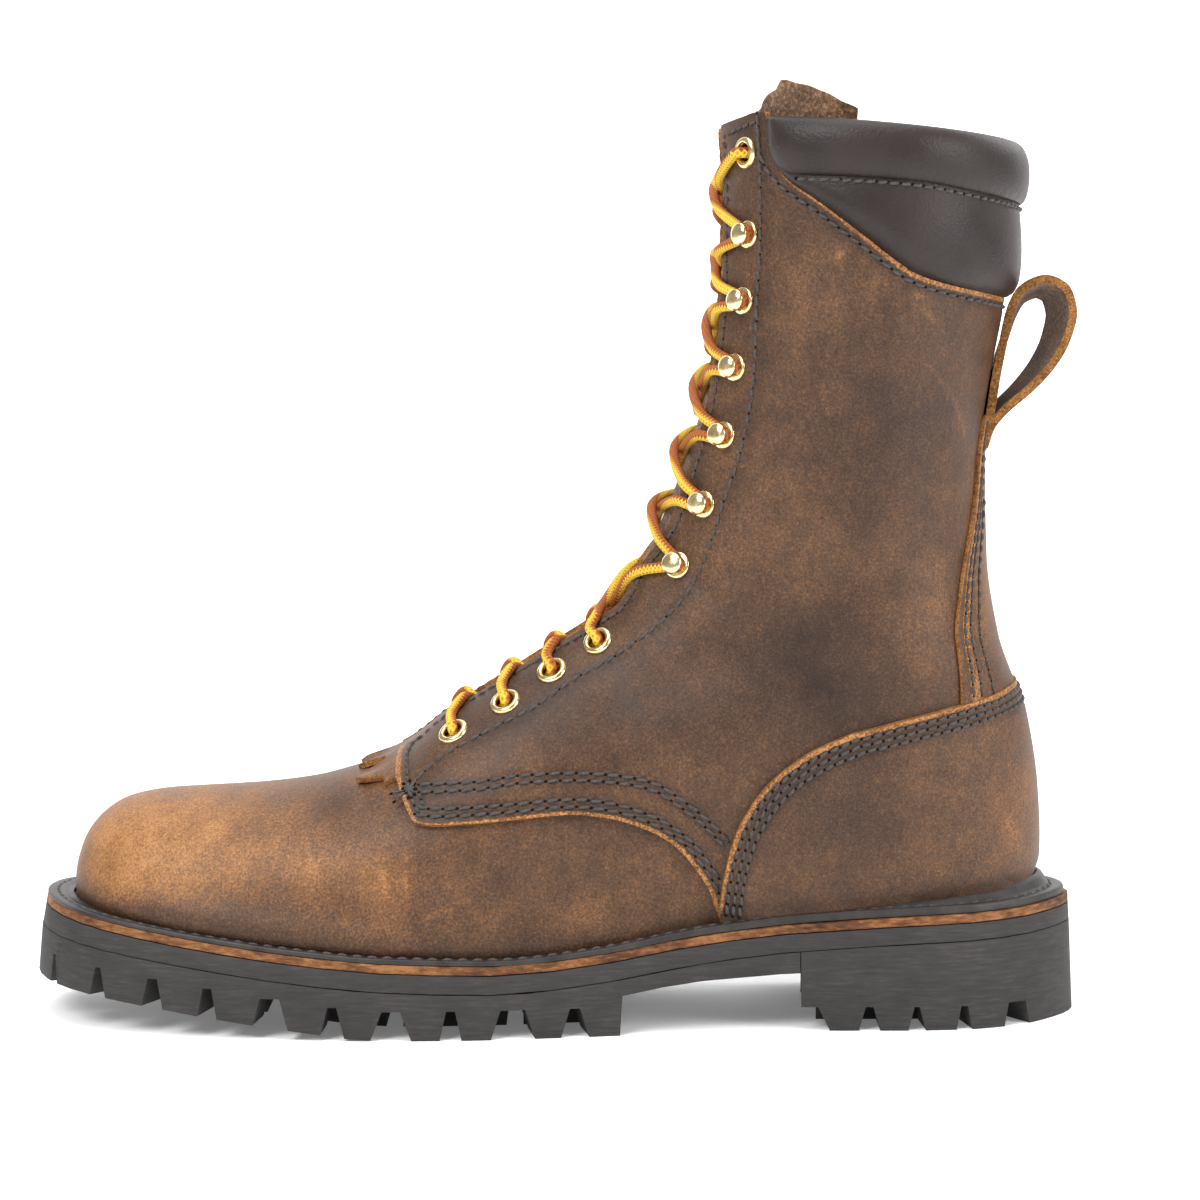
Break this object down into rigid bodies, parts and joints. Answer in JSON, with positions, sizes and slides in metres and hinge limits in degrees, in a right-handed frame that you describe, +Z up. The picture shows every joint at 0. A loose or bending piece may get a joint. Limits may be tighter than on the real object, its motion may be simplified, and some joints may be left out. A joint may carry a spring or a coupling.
{
  "type": "lace-up logger boot",
  "caption": "Left lace-up work boot in brown oiled leather with a padded black collar, brass eyelets and hooks, a yellow lace, a back pull loop and a lugged rubber sole with a separate heel",
  "frame": {"origin": "middle of the boot's box in plan, on the floor under the sole", "axes": "+X from toe to heel, +Y towards the inner (medial) side, +Z up"},
  "size_m": [0.316, 0.1064, 0.2804],
  "materials": {
    "brown_leather": "oiled pull-up leather, mottled and scuffed",
    "black_leather": "smooth padded leather with a soft sheen",
    "lining": "flesh side, matt",
    "rubber": "matt moulded",
    "midsole": "trimmed edge, fibrous",
    "brass": "polished",
    "lace": "round braid, yellow with brown flecks"
  },
  "bodies": {
    "root": {"outsole": "rubber", "heel": "rubber", "midsole_rubber": "rubber", "midsole_leather": "midsole", "welt": "black_leather", "insole": "lining", "upper": "brown_leather", "quarter_lateral": "brown_leather", "quarter_medial": "brown_leather", "counter": "brown_leather", "backstay": "brown_leather", "collar": "black_leather", "tongue": "lining", "kiltie": "brown_leather", "pull_loop": "brown_leather", "lace": "lace", "eyelet_lateral_1": "brass", "eyelet_lateral_2": "brass", "eyelet_lateral_3": "brass", "eyelet_lateral_4": "brass", "eyelet_lateral_5": "brass", "eyelet_medial_1": "brass", "eyelet_medial_2": "brass", "eyelet_medial_3": "brass", "eyelet_medial_4": "brass", "eyelet_medial_5": "brass", "hook_lateral_1": "brass", "hook_lateral_2": "brass", "hook_lateral_3": "brass", "hook_lateral_4": "brass", "hook_lateral_5": "brass", "hook_lateral_6": "brass", "hook_medial_1": "brass", "hook_medial_2": "brass", "hook_medial_3": "brass", "hook_medial_4": "brass", "hook_medial_5": "brass", "hook_medial_6": "brass"}
  },
  "joints": []
}
